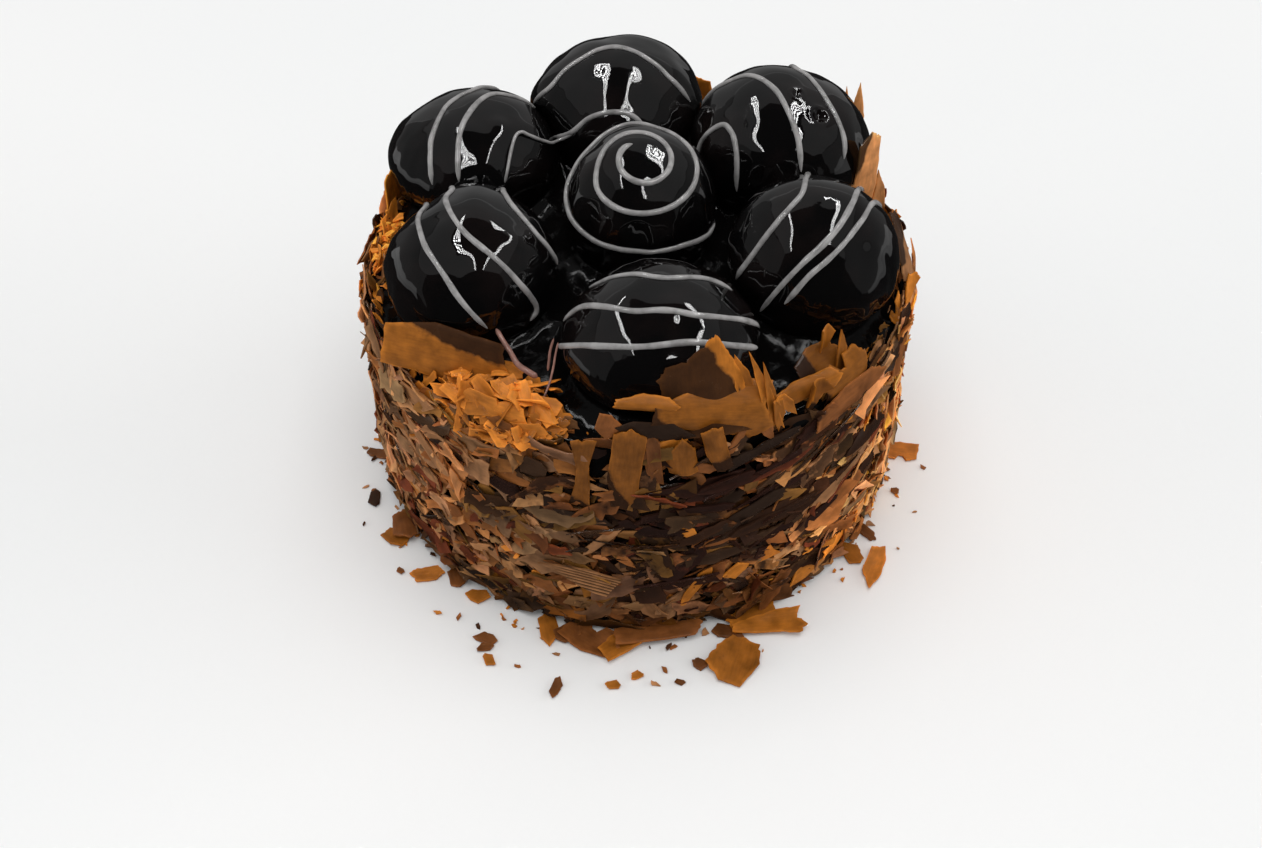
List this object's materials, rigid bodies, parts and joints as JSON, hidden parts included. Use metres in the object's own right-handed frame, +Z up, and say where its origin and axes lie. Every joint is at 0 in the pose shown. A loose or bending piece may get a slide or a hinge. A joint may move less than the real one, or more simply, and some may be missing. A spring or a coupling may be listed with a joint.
{
  "type": "profiterole cake",
  "caption": "Round cake coated with chocolate shavings, topped with a ring of dark glazed profiteroles and one in the middle, piped with thin lines.",
  "frame": {"origin": "centre of the cake's flat foot, on its upright axis", "axes": "+Z up, -Y towards the front, +X to the right as seen from the front"},
  "size_m": [0.1584, 0.1664, 0.1113],
  "materials": {
    "chocolate_shavings": "satin",
    "chocolate_glaze": "gloss",
    "piped_lines": "gloss"
  },
  "bodies": {
    "root": {"cake_body": "chocolate_shavings", "profiterole_front": "chocolate_glaze", "profiterole_left": "chocolate_glaze", "profiterole_right": "chocolate_glaze", "profiterole_back_left": "chocolate_glaze", "profiterole_back": "chocolate_glaze", "profiterole_back_right": "chocolate_glaze", "profiterole_centre": "chocolate_glaze"}
  },
  "joints": []
}
